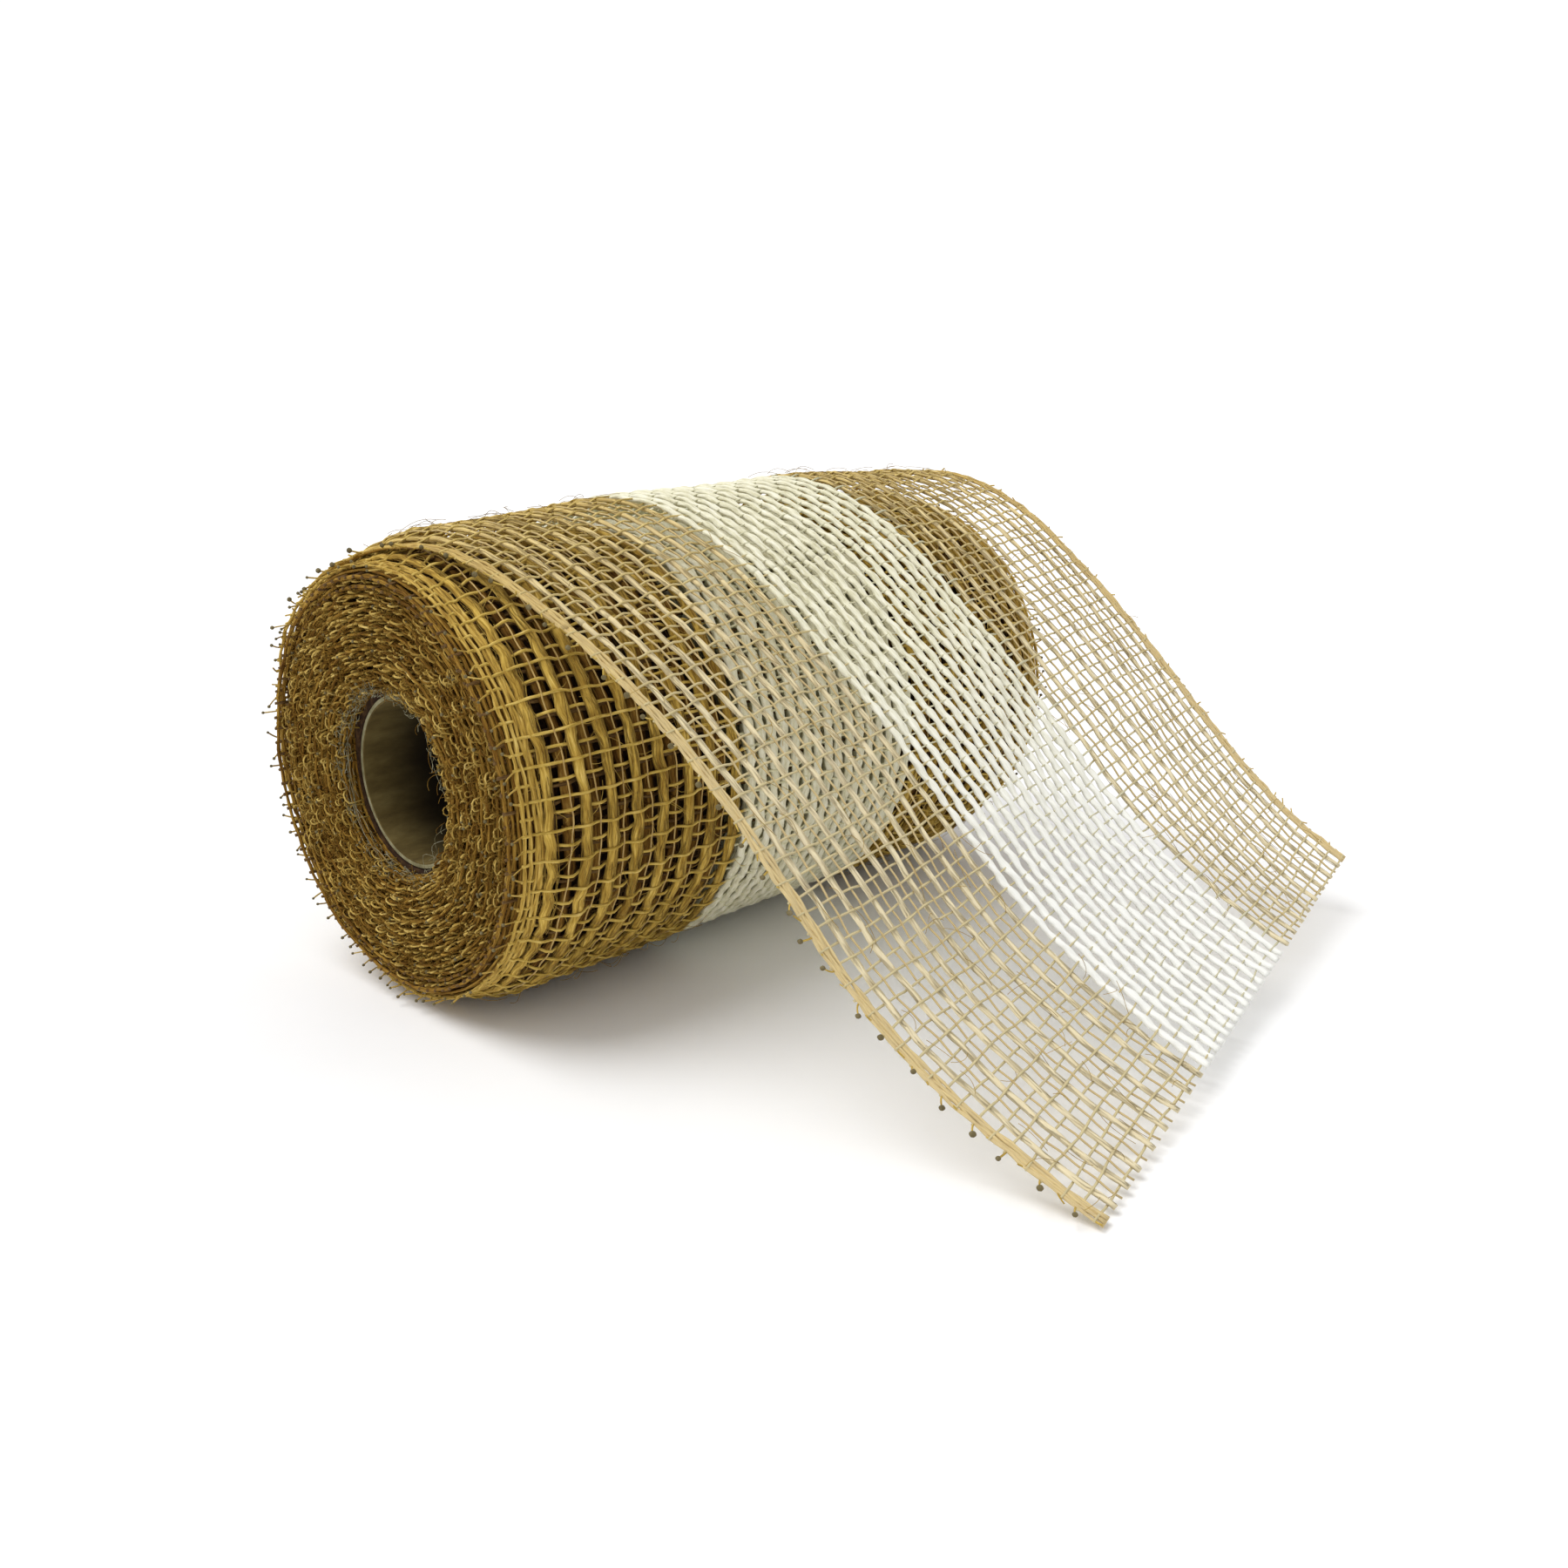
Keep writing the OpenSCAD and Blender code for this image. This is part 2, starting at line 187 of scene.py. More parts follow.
class Mesh:
    """Gathers tubes and beads, then makes one mesh with neat UV rows."""

    def __init__(self, name):
        self.name = name
        self.v, self.q, self.c, self.row, self.mat = [], [], [], [], []
        self.qy, self.qb, self.cy, self.cb, self.qm, self.cm = [], [], [], [], [], []
        self.nv = 0
        self.rows = 0

    def tube(self, C, up, a, b, k=6, mat=0, lobes=0, twist=4.0, depth=0.0, seed=0, caps=True, x0=0.0):
        C = np.asarray(C, float)
        n = len(C)
        T = unit(np.gradient(C, axis=0))
        side = unit(np.cross(T, up))
        nn = np.cross(side, T)
        a = np.broadcast_to(np.asarray(a, float), (n,))[:, None]
        b = np.broadcast_to(np.asarray(b, float), (n,))[:, None]
        step = np.linalg.norm(np.diff(C, axis=0), axis=1)
        s = np.concatenate([[0], np.cumsum(step)])
        th = 2 * np.pi * np.arange(k) / k - np.pi / 2
        f = np.full((n, k), math.sqrt(2 * math.pi / (k * math.sin(2 * math.pi / k))) if k > 3 else 1.0)
        if lobes:
            ph = np.random.default_rng(seed + 5).uniform(0, 6.28)
            f = f * (1 + depth * np.cos(lobes * (th[None, :]) - 2 * np.pi * (s[:, None] + x0) / twist + ph))
        P = C[:, None, :] + (a * np.cos(th) * f)[..., None] * side[:, None, :] + (b * np.sin(th) * f)[..., None] * nn[:, None, :]
        base = self.nv
        self.v.append(P.reshape(-1, 3))
        self.nv += n * k
        i, j = np.meshgrid(np.arange(n - 1), np.arange(k), indexing="ij")
        j2 = (j + 1) % k
        quad = np.stack([base + i * k + j, base + i * k + j2, base + (i + 1) * k + j2, base + (i + 1) * k + j], -1).reshape(-1, 4)
        ut = s / max(s[-1], 1e-9)
        ident = (seed * 3.713) % 997.0
        x = (np.stack([s[i], s[i], s[i + 1], s[i + 1]], -1).reshape(-1, 4) + x0) / 10.0
        y = (np.stack([j, j + 1, j + 1, j], -1) / k).reshape(-1, 4) + ident
        bx = 0.004 + 0.992 * np.stack([ut[i], ut[i], ut[i + 1], ut[i + 1]], -1).reshape(-1, 4)
        by = np.stack([j, j + 1, j + 1, j], -1).reshape(-1, 4) / k
        self.q.append(quad)
        self.qy.append(np.stack([x, y], -1))
        self.qb.append(np.stack([bx, by * 0.9 + 0.05 + self.rows], -1))
        self.qm.append(np.full(len(quad), mat))
        if caps:
            jj = np.arange(k)
            for ring, order, u0 in ((0, jj[::-1], 0.0018), (n - 1, jj, 0.9982)):
                self.c.append((base + ring * k + order).astype(int))
                ang = th[order]
                self.cy.append(np.stack([s[ring] / 10 + 0.02 * np.cos(ang), ident + 0.5 + 0.2 * np.sin(ang)], -1))
                self.cb.append(np.stack([u0 + 0.0012 * np.cos(ang), self.rows + 0.5 + 0.35 * np.sin(ang)], -1))
                self.cm.append(mat)
        self.rows += 1

    def bead(self, c, r, mat=0, seed=0):
        c = np.asarray(c, float)
        z = np.linspace(-1, 1, 6) * r * 0.985
        C = c[None, :] + z[:, None] * np.array([[0.0, 0.0, 1.0]])
        rr = np.sqrt(np.maximum(r * r - z * z, (0.12 * r) ** 2))
        self.tube(C, np.array([[0.0, 1.0, 0.0]] * 6), rr, rr, k=6, mat=mat, seed=seed)

    def build(self, mats, shade=True):
        V = np.concatenate(self.v) * 0.001
        Qd = np.concatenate(self.q)
        R = max(self.rows, 1)
        nq, nc = len(Qd), len(self.c)
        loops = [Qd.reshape(-1)] + self.c
        sizes = np.concatenate([np.full(nq, 4), [len(c) for c in self.c]]).astype(int)
        starts = np.concatenate([[0], np.cumsum(sizes)[:-1]]).astype(int)
        me = bpy.data.meshes.new(self.name)
        me.vertices.add(len(V))
        me.vertices.foreach_set("co", V.reshape(-1).astype(np.float32))
        lv = np.concatenate(loops).astype(np.int32)
        me.loops.add(len(lv))
        me.loops.foreach_set("vertex_index", lv)
        me.polygons.add(nq + nc)
        me.polygons.foreach_set("loop_start", starts.astype(np.int32))
        me.polygons.foreach_set("material_index", np.concatenate([np.concatenate(self.qm), np.array(self.cm, int)]).astype(np.int32))
        me.update(calc_edges=True)
        yu = np.concatenate([np.concatenate(self.qy).reshape(-1, 2)] + self.cy)
        bu = np.concatenate([np.concatenate(self.qb).reshape(-1, 2)] + self.cb)
        bu[:, 1] /= R
        bake = me.uv_layers.new(name="OFBake")
        bake.data.foreach_set("uv", bu.reshape(-1).astype(np.float32))
        yarn = me.uv_layers.new(name="yarn")
        yarn.data.foreach_set("uv", yu.reshape(-1).astype(np.float32))
        for m in mats:
            me.materials.append(m)
        me.validate()
        if shade:
            me.polygons.foreach_set("use_smooth", np.concatenate([np.ones(nq, bool), np.zeros(nc, bool)]))
        me.update()
        ob = bpy.data.objects.new(self.name, me)
        bpy.context.scene.collection.objects.link(ob)
        return ob


# --------------------------------------------------------------- materials
def material(name, tones, along, around, rough, bump, sheen=0.0, patch=0.35, spec=0.12, loose=None, middle=None, through=0.0):
    """Yarn finish: streaks that run along each yarn, and slow changes of tone along and between yarns.
    loose is (tone, weight) the colour moves to along the loose end, painted light that brightens the loose end towards
    its cut; middle is a tone for the weft's stretch in the cotton band, painted light that pales the weft there."""
    m = bpy.data.materials.new(name)
    m.use_nodes = True
    nt = m.node_tree
    N, L = nt.nodes, nt.links
    bs = N["Principled BSDF"]
    bs.inputs["Roughness"].default_value = rough
    bs.inputs["Specular IOR Level"].default_value = spec
    bs.inputs["Sheen Weight"].default_value = sheen
    uv = N.new("ShaderNodeUVMap")
    uv.uv_map = "yarn"
    mp = N.new("ShaderNodeMapping")
    mp.inputs["Scale"].default_value = (along, around, 1)
    L.new(uv.outputs["UV"], mp.inputs["Vector"])
    streak = N.new("ShaderNodeTexNoise")
    streak.inputs["Scale"].default_value = 1.0
    streak.inputs["Detail"].default_value = 5
    streak.inputs["Roughness"].default_value = 0.65
    L.new(mp.outputs["Vector"], streak.inputs["Vector"])
    mp2 = N.new("ShaderNodeMapping")
    mp2.inputs["Scale"].default_value = (0.9, 0.4, 1)
    L.new(uv.outputs["UV"], mp2.inputs["Vector"])
    slow = N.new("ShaderNodeTexNoise")
    slow.inputs["Scale"].default_value = 1.0
    slow.inputs["Detail"].default_value = 2
    L.new(mp2.outputs["Vector"], slow.inputs["Vector"])
    mix = N.new("ShaderNodeMath")
    mix.operation = "MULTIPLY_ADD"
    mix.inputs[1].default_value = patch
    L.new(slow.outputs["Fac"], mix.inputs[0])
    sub = N.new("ShaderNodeMath")
    sub.operation = "MULTIPLY"
    sub.inputs[1].default_value = 1 - patch
    L.new(streak.outputs["Fac"], sub.inputs[0])
    L.new(sub.outputs[0], mix.inputs[2])
    ramp = N.new("ShaderNodeValToRGB")
    els = ramp.color_ramp.elements
    while len(els) < len(tones):
        els.new(0.5)
    for e, (pos, col) in zip(els, tones):
        e.position = pos
        e.color = (*col, 1)
    L.new(mix.outputs[0], ramp.inputs["Fac"])
    out = ramp.outputs["Color"]

    def blend_to(out, fac, tone):
        mx = N.new("ShaderNodeMix")
        mx.data_type = "RGBA"
        mx.inputs["B"].default_value = (*tone, 1)
        L.new(fac, mx.inputs["Factor"])
        L.new(out, mx.inputs["A"])
        return mx.outputs["Result"]

    def ranged(src, lo, hi, to0, to1):
        mr = N.new("ShaderNodeMapRange")
        mr.interpolation_type = "SMOOTHSTEP"
        mr.inputs["From Min"].default_value = lo
        mr.inputs["From Max"].default_value = hi
        mr.inputs["To Min"].default_value = to0
        mr.inputs["To Max"].default_value = to1
        L.new(src, mr.inputs["Value"])
        return mr.outputs["Result"]

    # painted light: the weft's stretch across the cotton band is paled towards the middle tone
    if middle:
        sep = N.new("ShaderNodeSeparateXYZ")
        L.new(uv.outputs["UV"], sep.inputs[0])
        both = N.new("ShaderNodeMath")
        both.operation = "MULTIPLY"
        # the weft's own length runs a little over the ribbon's width
        L.new(ranged(sep.outputs["X"], 5.3, 5.5, 0, 1), both.inputs[0])
        L.new(ranged(sep.outputs["X"], 10.4, 10.6, 1, 0), both.inputs[1])
        out = blend_to(out, both.outputs[0], middle)
    # painted light: the colour moves towards a pale tone along the loose end, brightening it towards its cut
    if loose:
        tc = N.new("ShaderNodeTexCoord")
        sp = N.new("ShaderNodeSeparateXYZ")
        L.new(tc.outputs["Object"], sp.inputs[0])
        out = blend_to(out, ranged(sp.outputs["X"], *(loose[2:] or (-0.030, 0.085)), 0, loose[1]), loose[0])
    L.new(out, bs.inputs["Base Color"])
    bp = N.new("ShaderNodeBump")
    bp.inputs["Strength"].default_value = bump
    bp.inputs["Distance"].default_value = 0.0003
    L.new(streak.outputs["Fac"], bp.inputs["Height"])
    L.new(bp.outputs["Normal"], bs.inputs["Normal"])
    return m


JUTE_T = [(0.36, (0.14, 0.068, 0.008)), (0.46, (0.36, 0.215, 0.032)), (0.56, (0.61, 0.405, 0.078)), (0.68, (0.88, 0.66, 0.20))]
FINE_T = [(0.36, (0.20, 0.10, 0.012)), (0.47, (0.45, 0.28, 0.046)), (0.57, (0.65, 0.44, 0.098)), (0.70, (0.86, 0.66, 0.23))]
WEFT_T = [(0.34, (0.24, 0.14, 0.018)), (0.48, (0.49, 0.33, 0.062)), (0.60, (0.68, 0.49, 0.13)), (0.72, (0.86, 0.69, 0.29))]
# lighter tones for the loose end: painted light, lit copies of the jute and weft tones
JUTE_LIT_T = [(0.36, (0.33, 0.195, 0.036)), (0.46, (0.58, 0.40, 0.095)), (0.56, (0.80, 0.58, 0.17)), (0.68, (0.96, 0.78, 0.33))]
WEFT_LIT_T = [(0.34, (0.36, 0.225, 0.036)), (0.48, (0.58, 0.41, 0.092)), (0.60, (0.77, 0.58, 0.18)), (0.72, (0.92, 0.74, 0.33))]
COTTON_T = [(0.30, (0.48, 0.45, 0.26)), (0.44, (0.74, 0.705, 0.50)), (0.56, (0.88, 0.85, 0.67)), (0.72, (0.95, 0.935, 0.83))]
JUTE = material("jute_roving", JUTE_T, 2.2, 13.0, 0.75, 0.9, 0.04)
# painted light: a lit copy of the roving, paler still towards the cut
JUTE_L = material("jute_roving_loose_lit", JUTE_LIT_T, 2.2, 13.0, 0.75, 0.8, 0.04, loose=((0.90, 0.81, 0.58), 0.80))
# painted shade: a darker, shaded copy of the jute for the wound end faces and inner turns
JUTE_SHADED = material("jute_wound_shaded", [(0.34, (0.055, 0.020, 0.003)), (0.46, (0.20, 0.095, 0.012)), (0.57, (0.42, 0.245, 0.040)), (0.70, (0.70, 0.46, 0.12))], 2.2, 11.0, 0.85, 0.9, 0.0)
# painted shade: a still darker copy of the roving for the turns under the outer one
JUTE_UNDER_SHADED = material("jute_under_shaded", [(0.34, (0.035, 0.012, 0.002)), (0.46, (0.13, 0.058, 0.009)), (0.57, (0.29, 0.155, 0.027)), (0.70, (0.50, 0.31, 0.08))], 2.2, 11.0, 0.85, 0.9, 0.0)
FINEJ = material("jute_selvedge", FINE_T, 3.0, 7.0, 0.72, 0.8, 0.04)
# painted light: a lit copy of the selvedge yarn for the loose end
FINEJ_L = material("jute_selvedge_loose_lit", FINE_T, 3.0, 7.0, 0.72, 0.8, 0.04, loose=((0.82, 0.68, 0.40), 0.66))
COTTONM = material("cotton_yarn", COTTON_T, 3.5, 8.0, 0.85, 0.6, 0.05, 0.25)
# painted light: the cotton washed towards white along the loose end
COTTON_L = material("cotton_yarn_loose_lit", COTTON_T, 3.5, 8.0, 0.85, 0.6, 0.05, 0.25, loose=((0.93, 0.935, 0.92), 0.80, 0.045, 0.100))
# painted shade: a shaded copy of the cotton for the inner turns
COTTON_SHADED = material("cotton_wound_shaded", [(0.30, (0.32, 0.29, 0.13)), (0.46, (0.58, 0.55, 0.34)), (0.58, (0.76, 0.73, 0.54)), (0.75, (0.88, 0.86, 0.72))], 3.5, 8.0, 0.85, 0.6, 0.0, 0.25)
# painted light: middle pales the weft across the cotton band
WEFT = material("weft_thread", WEFT_T, 5.0, 4.0, 0.6, 0.6, 0.02, middle=(0.70, 0.67, 0.44))
# painted light: a lit copy of the weft for the loose end
WEFT_L = material("weft_thread_loose_lit", WEFT_LIT_T, 5.0, 4.0, 0.6, 0.6, 0.0, middle=(0.60, 0.59, 0.40), loose=((0.60, 0.545, 0.37), 0.70))
# painted shade: a shaded copy of the weft for the inner turns and their binder
WEFT_SHADED = material("weft_wound_shaded", [(0.32, (0.05, 0.022, 0.008)), (0.50, (0.13, 0.07, 0.022)), (0.66, (0.24, 0.15, 0.05)), (0.8, (0.40, 0.28, 0.12))], 5.0, 4.0, 0.6, 0.6, 0.0)
LOOP = material("weft_loop", [(0.34, (0.17, 0.09, 0.014)), (0.48, (0.42, 0.27, 0.055)), (0.60, (0.64, 0.46, 0.13)), (0.74, (0.86, 0.68, 0.30))], 5.0, 4.0, 0.6, 0.6, 0.0, 0.6)
BINDER = material("binder_thread", [(0.3, (0.32, 0.19, 0.05)), (0.55, (0.52, 0.35, 0.11)), (0.8, (0.72, 0.54, 0.24))], 6.0, 3.0, 0.4, 0.3, 0.0, 0.35, 0.5)
# painted light: a lit copy of the binder for the loose end
BINDER_L = material("binder_thread_loose_lit", [(0.3, (0.38, 0.25, 0.08)), (0.55, (0.58, 0.43, 0.16)), (0.8, (0.76, 0.60, 0.29))], 6.0, 3.0, 0.5, 0.3, 0.0, 0.35, 0.4, loose=((0.58, 0.47, 0.28), 0.5))
BEAD = material("weft_knot", [(0.3, (0.07, 0.055, 0.022)), (0.55, (0.18, 0.145, 0.07)), (0.75, (0.32, 0.26, 0.15))], 9.0, 3.0, 0.6, 0.5)
GLUE = material("glue_fibre", [(0.36, (0.085, 0.075, 0.035)), (0.50, (0.27, 0.25, 0.15)), (0.66, (0.62, 0.61, 0.48))], 9.0, 3.0, 0.75, 0.4, 0.0)


def solid_material(name, tones, scale, stretch, rough, bump, spiral=False, spec=0.3, bore_shade=False):
    """Finish of the plain solids: a mottled object-space noise, with a wound ply's seam where asked, and painted shade
    darkening the bore away from its mouths where asked.
    """
    m = bpy.data.materials.new(name)
    m.use_nodes = True
    nt = m.node_tree
    N, L = nt.nodes, nt.links
    bs = N["Principled BSDF"]
    bs.inputs["Roughness"].default_value = rough
    bs.inputs["Specular IOR Level"].default_value = spec
    tc = N.new("ShaderNodeTexCoord")
    mp = N.new("ShaderNodeMapping")
    mp.inputs["Scale"].default_value = stretch
    L.new(tc.outputs["Object"], mp.inputs["Vector"])
    no = N.new("ShaderNodeTexNoise")
    no.inputs["Scale"].default_value = scale
    no.inputs["Detail"].default_value = 6
    no.inputs["Roughness"].default_value = 0.62
    L.new(mp.outputs["Vector"], no.inputs["Vector"])
    ramp = N.new("ShaderNodeValToRGB")
    els = ramp.color_ramp.elements
    while len(els) < len(tones):
        els.new(0.5)
    for e, (pos, col) in zip(els, tones):
        e.position = pos
        e.color = (*col, 1)
    L.new(no.outputs["Fac"], ramp.inputs["Fac"])
    out = ramp.outputs["Color"]
    if spiral:
        sep = N.new("ShaderNodeSeparateXYZ")
        L.new(tc.outputs["Object"], sep.inputs[0])
        at = N.new("ShaderNodeMath")
        at.operation = "ARCTAN2"
        L.new(sep.outputs["Z"], at.inputs[0])
        L.new(sep.outputs["X"], at.inputs[1])
        turn = N.new("ShaderNodeMath")
        turn.operation = "MULTIPLY_ADD"
        turn.inputs[1].default_value = 1 / (2 * math.pi)
        yy = N.new("ShaderNodeMath")
        yy.operation = "MULTIPLY"
        yy.inputs[1].default_value = 1 / 0.074
        L.new(sep.outputs["Y"], yy.inputs[0])
        L.new(at.outputs[0], turn.inputs[0])
        L.new(yy.outputs[0], turn.inputs[2])
        fr = N.new("ShaderNodeMath")
        fr.operation = "FRACT"
        L.new(turn.outputs[0], fr.inputs[0])
        edge_ = N.new("ShaderNodeMath")
        edge_.operation = "LESS_THAN"
        edge_.inputs[1].default_value = 0.012
        L.new(fr.outputs[0], edge_.inputs[0])
        mx = N.new("ShaderNodeMix")
        mx.data_type = "RGBA"
        mx.blend_type = "MULTIPLY"
        mx.inputs["B"].default_value = (0.45, 0.42, 0.38, 1)
        L.new(edge_.outputs[0], mx.inputs["Factor"])
        L.new(out, mx.inputs["A"])
        out = mx.outputs["Result"]
    if bore_shade:  # painted shade: the paper is darkened away from the two mouths, standing for shade deep in the bore
        sep = N.new("ShaderNodeSeparateXYZ")
        L.new(tc.outputs["Object"], sep.inputs[0])
        ab = N.new("ShaderNodeMath")
        ab.operation = "ABSOLUTE"
        L.new(sep.outputs["Y"], ab.inputs[0])
        mr = N.new("ShaderNodeMapRange")
        mr.interpolation_type = "SMOOTHSTEP"
        mr.inputs["From Min"].default_value = 0.0715
        mr.inputs["From Max"].default_value = 0.056
        mr.inputs["To Min"].default_value = 0.0
        mr.inputs["To Max"].default_value = 0.97
        L.new(ab.outputs[0], mr.inputs["Value"])
        mx = N.new("ShaderNodeMix")
        mx.data_type = "RGBA"
        mx.inputs["B"].default_value = (0.010, 0.006, 0.003, 1)
        L.new(mr.outputs["Result"], mx.inputs["Factor"])
        L.new(out, mx.inputs["A"])
        out = mx.outputs["Result"]
    L.new(out, bs.inputs["Base Color"])
    bp = N.new("ShaderNodeBump")
    bp.inputs["Strength"].default_value = bump
    bp.inputs["Distance"].default_value = 0.0004
    L.new(no.outputs["Fac"], bp.inputs["Height"])
    L.new(bp.outputs["Normal"], bs.inputs["Normal"])
    return m


# the inner ply's tones are a darker, shaded copy of the kraft edge's: painted shade inside the bore
KRAFT = solid_material("kraft_paper", [(0.30, (0.075, 0.050, 0.012)), (0.50, (0.135, 0.095, 0.026)), (0.68, (0.20, 0.15, 0.05))], 260, (1, 0.35, 1), 0.85, 0.35, True, bore_shade=True)
KRAFT_EDGE = solid_material("kraft_edge", [(0.30, (0.20, 0.175, 0.085)), (0.50, (0.33, 0.30, 0.165)), (0.68, (0.47, 0.43, 0.27))], 420, (1, 1, 1), 0.85, 0.4)
# painted shade: the inner turns seen through the weave, dark in the jute bands and dimmed in the cotton band
SHADE = solid_material("wound_ribbon_painted_shade", [(0.30, (0.012, 0.005, 0.002)), (0.50, (0.035, 0.015, 0.005)), (0.68, (0.085, 0.042, 0.013))], 600, (1, 3.0, 1), 0.95, 0.8)
SHADE_W = solid_material("wound_cotton_painted_shade", [(0.30, (0.22, 0.195, 0.065)), (0.50, (0.42, 0.38, 0.17)), (0.68, (0.62, 0.57, 0.32))], 600, (1, 3.0, 1), 0.95, 0.8)

# ------------------------------------------------------------ ribbon webs
FLY = []  # starts for the stray fibres


def web(name, surf, s0, s1, length, picks, mats, weft_at, fine=1.0, warp_k=8, weft_k=5, fibres=1.2, join=0.0, slim=None, bend=0.0):
    """One stretch of ribbon. surf(s, w, h) gives a point and its outward direction, s runs over s0..s1 for length mm.
    The cloth is one mesh of every woven yarn, jute, weft, binder and cotton, and the rovings' loose fibres are another. slim(s) runs from 0, as wound, to 1, as it lies loose."""
    jute, fuzz = Mesh(name + "_web"), Mesh(name + "_fibres")
    mm = lambda s: (s - s0) / (s1 - s0) * length + join
    n_of = lambda step: max(6, int(round(length / (step * fine))))
    slim = slim or (lambda s: 0.0 * np.asarray(s, float))

    for i, w in enumerate(THICK):
        n = n_of(1.2) + 1
        s = np.linspace(s0, s1, n)
        at = mm(s)
        k = slim(s)
        g0 = np.random.default_rng(150 + i)
        # the roving shifts a little to either side of each pick
        ww = w + wave(at, 100 + i, [70, 31, 15, 9], [0.22, 0.17, 0.11, 0.07]) + (0.15 - 0.09 * k) * np.sin(np.pi * at / PICK + g0.uniform(0, 6.28)) * (1 + wave(at, 170 + i, [40], [0.5]))
        fat = 1 + wave(at, 300 + i, [38, 17, 8, 4.6], [0.12, 0.10, 0.08, 0.07])
        aa = (1.00 - 0.46 * k) * fat
        bb = (0.60 - 0.23 * k) * (2 - fat)
        hh = -0.10 * np.cos(np.pi * (at / PICK))
        C, up = surf(s, ww, hh)
        jute.tube(C, up, aa, bb, k=warp_k, mat=0, seed=1000 + i, lobes=3, twist=12, depth=0.13, x0=join)
        for j in range(int(round(7 * fibres))):
            g = np.random.default_rng(7000 + 97 * i + 13 * j + int(join))
            pos = g.uniform(0, 14)
            while pos < length - 4:
                ln = g.uniform(9, 26)
                e = min(pos + ln, length - 0.2)
                m_ = max(4, int((e - pos) / 2.2))
                q = np.linspace(pos, e, m_)
                ss = s0 + (s1 - s0) * q / length
                th = g.uniform(-0.35, math.pi + 0.35) + wave(q, g.integers(1 << 30), [22, 9], [0.5, 0.25])
                out = 1.03 + 0.12 * np.abs(np.sin(np.pi * np.linspace(0, 1, m_))) * g.uniform(0, 2.2)
                qa = q + join
                C, up = surf(ss, np.interp(qa, at, ww) + np.interp(qa, at, aa) * 1.06 * out * np.cos(th), np.interp(qa, at, bb) * 1.06 * out * np.sin(th))
                fuzz.tube(C, up, 0.08, 0.08, k=3, mat=0, seed=int(g.integers(9999)))
                pos = e + g.uniform(0, 9)
    for i in range(10):
        n = n_of(1.4) + 1
        s = np.linspace(s0, s1, n)
        at = mm(s)
        k = slim(s)
        e = FINE_WOUND[i % 5] + (FINE_LOOSE[i % 5] - FINE_WOUND[i % 5]) * k
        e = e + wave(at, 500 + i, [33, 13, 7], [0.10, 0.09, 0.07])
        C, up = surf(s, e if i < 5 else W - e, 0.10 * (-1) ** i * np.cos(np.pi * at / PICK) + wave(at, 520 + i, [19, 9], [0.07, 0.05]))
        fat = 1 + wave(at, 540 + i, [21, 8], [0.12, 0.10])
        jute.tube(C, up, (0.31 - 0.03 * k) * fat, (0.30 - 0.03 * k) * fat, k=max(5, weft_k), mat=3, seed=2000 + i, lobes=2, twist=4.5, depth=0.14, x0=join)
    for i, w in enumerate(THIN):
        n = n_of(1.5) + 1
        s = np.linspace(s0, s1, n)
        at = mm(s)
        k = slim(s)
        C, up = surf(s, w + wave(at, 600 + i, [60, 27, 12], [0.25, 0.2, 0.12]), 0.15 * np.cos(np.pi * at / PICK))
        jute.tube(C, up, 0.15 + 0.07 * k, 0.14 + 0.05 * k, k=4, mat=2, seed=3000 + i, x0=join)
    for i, w in enumerate(COTTON):
        n = n_of(0.75) + 1
        s = np.linspace(s0, s1, n)
        at = mm(s)
        k = slim(s)
        fat = 1 + wave(at, 900 + i, [31, 12, 6], [0.06, 0.06, 0.05])
        C, up = surf(s, w + wave(at, 700 + i, [60, 25, 11], [0.16, 0.12, 0.10]), -0.14 * (-1) ** i * np.cos(np.pi * at / PICK))
        jute.tube(C, up, (1.01 - 0.17 * k) * fat, (0.62 - 0.13 * k) * fat, k=warp_k, mat=4, seed=4000 + i, lobes=2, twist=3.6, depth=0.14, x0=join)
    lo, hi = -0.15, W + 0.15
    for p in picks:
        kn = weft_knots(p, float(slim(np.array(weft_at(p)))))
        kw, kh = np.array([a_ for a_, _ in kn]), np.array([b_ for _, b_ in kn])
        sp = weft_at(p)
        w = np.linspace(lo, hi, int(round((hi - lo) / (1.02 * fine))) + 1)
        idx = np.clip(np.searchsorted(kw, w) - 1, 0, len(kw) - 2)
        h = kh[idx] + (kh[idx + 1] - kh[idx]) * smooth((w - kw[idx]) / (kw[idx + 1] - kw[idx]))
        h = np.where((w < kw[0]), kh[0] * smooth((w - lo) / 0.5), np.where(w > kw[-1], kh[-1] * smooth((hi - w) / 0.5), h))
        kk = float(slim(np.array(sp)))
        h = h * (1 - 0.38 * kk)
        # neighbouring picks wander together, and each a little on its own
        off = wave(w, 5000 + p, [80, 37, 17], [0.20, 0.16, 0.12])
        if bend:
            off = off + bend * (np.sin(w / 21.0 + 0.11 * p) + 0.7 * np.sin(w / 11.5 - 0.17 * p + 1.3))
        s = np.clip(sp + off / length * (s1 - s0), s0, s1)
        C, up = surf(s, w, h)
        mid = smooth((w - 50.5) / 1.5) * smooth((102 - w) / 1.5)
        jute.tube(C, up, 0.27 - 0.065 * kk - 0.045 * mid, 0.235 - 0.055 * kk - 0.035 * mid, k=weft_k, mat=1, seed=5000 + p, lobes=2, twist=3.4, depth=0.08)
    jo = jute.build(mats[:5])
    if not fibres:
        return (jo,)
    fo = fuzz.build([mats[0]])
    return jo, fo


